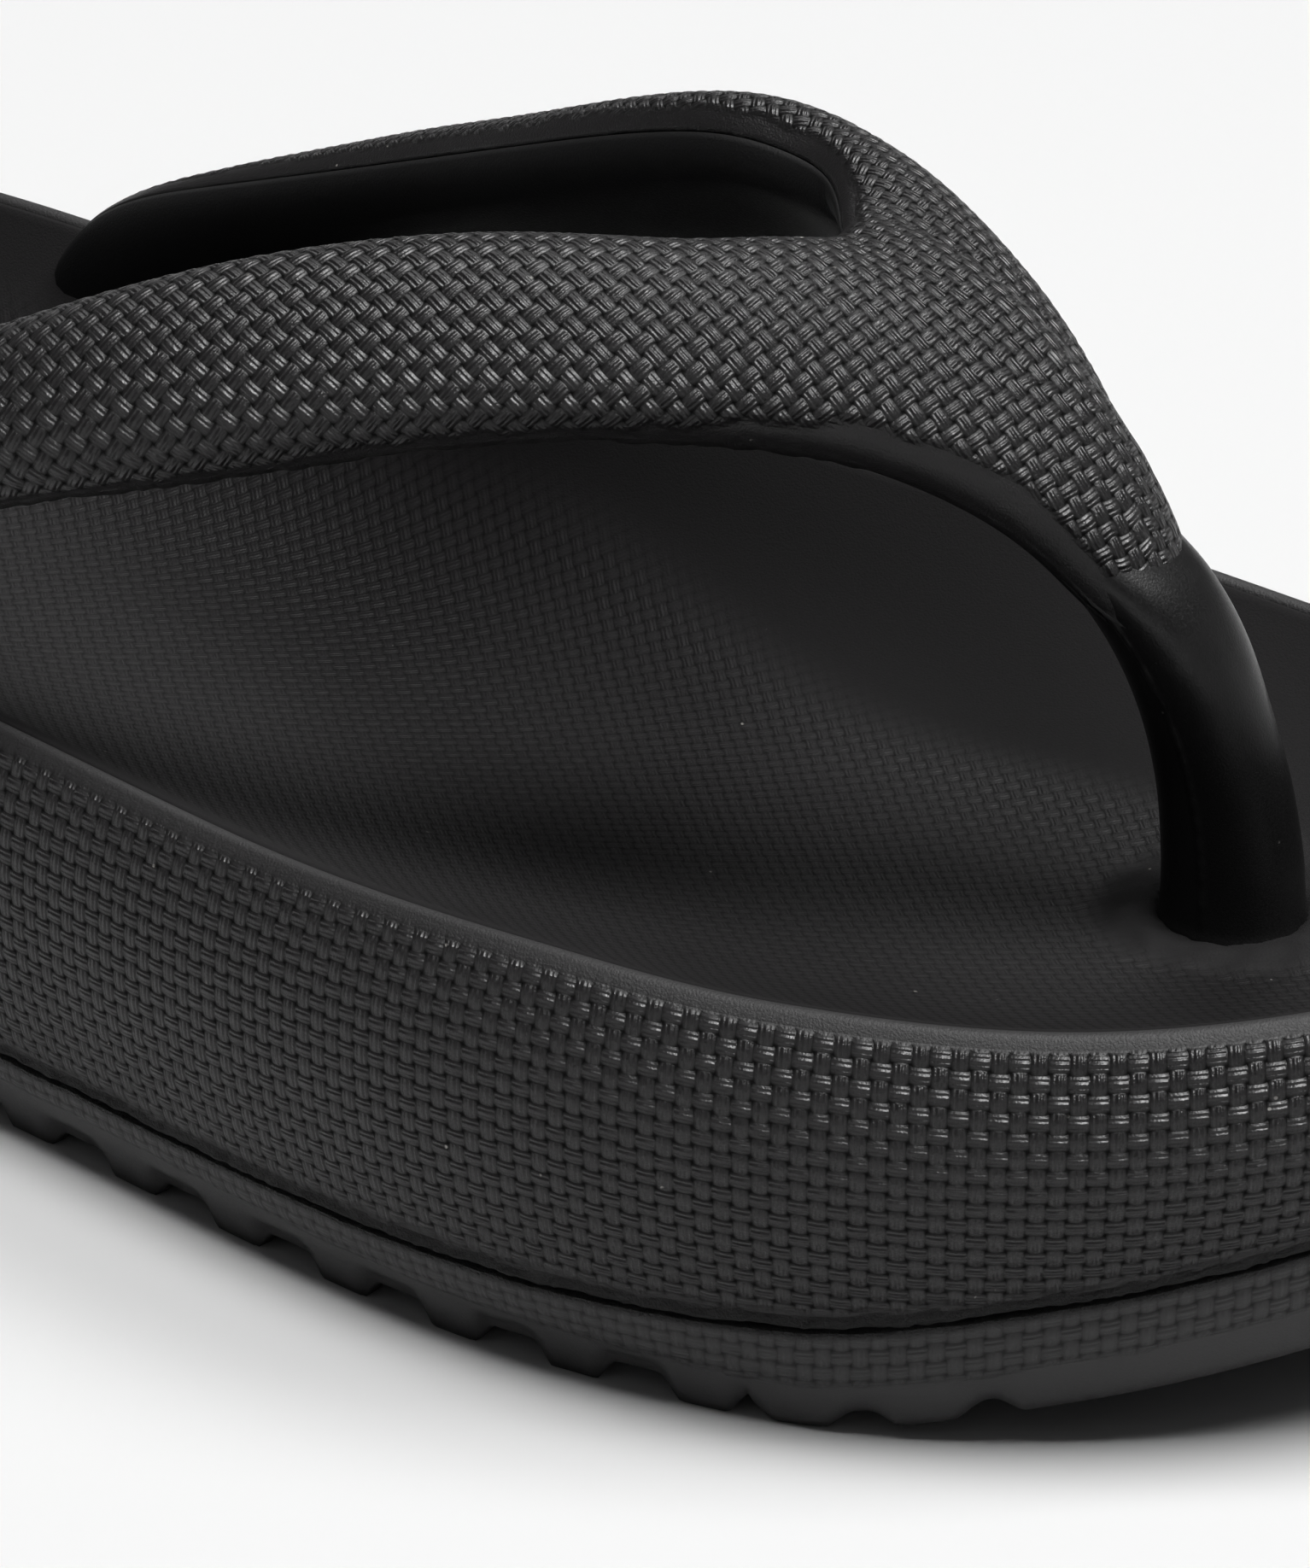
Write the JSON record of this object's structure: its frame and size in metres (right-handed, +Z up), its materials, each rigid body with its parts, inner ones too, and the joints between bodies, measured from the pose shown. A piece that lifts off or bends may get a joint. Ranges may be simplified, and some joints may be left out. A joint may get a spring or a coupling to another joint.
{
  "type": "flip flop",
  "caption": "Right-foot thong sandal: thick dished foam sole with a ribbed tread, and a padded Y strap on a toe post.",
  "frame": {"origin": "on the ground, at the centre of the sandal's plan box", "axes": "toe towards -Y, heel towards +Y, inner (medial) side towards +X, +Z up"},
  "size_m": [0.0984, 0.2638, 0.0815],
  "materials": {
    "sidewall_foam": "matte foam with a basket-weave relief",
    "footbed_foam": "matte foam with a fine zigzag relief",
    "outsole_foam": "matte foam",
    "strap_foam": "satin foam with a diagonal basket-weave relief",
    "lining_foam": "smooth matte foam",
    "post_foam": "smooth satin foam",
    "hard_nylon": "satin moulded plastic"
  },
  "bodies": {
    "root": {"midsole": "sidewall_foam", "footbed": "footbed_foam", "outsole": "outsole_foam", "strap_cover": "strap_foam", "strap_lining": "lining_foam", "toe_post": "post_foam", "toe_post_washer": "hard_nylon", "lateral_strap_anchor": "hard_nylon", "medial_strap_anchor": "hard_nylon"}
  },
  "joints": []
}
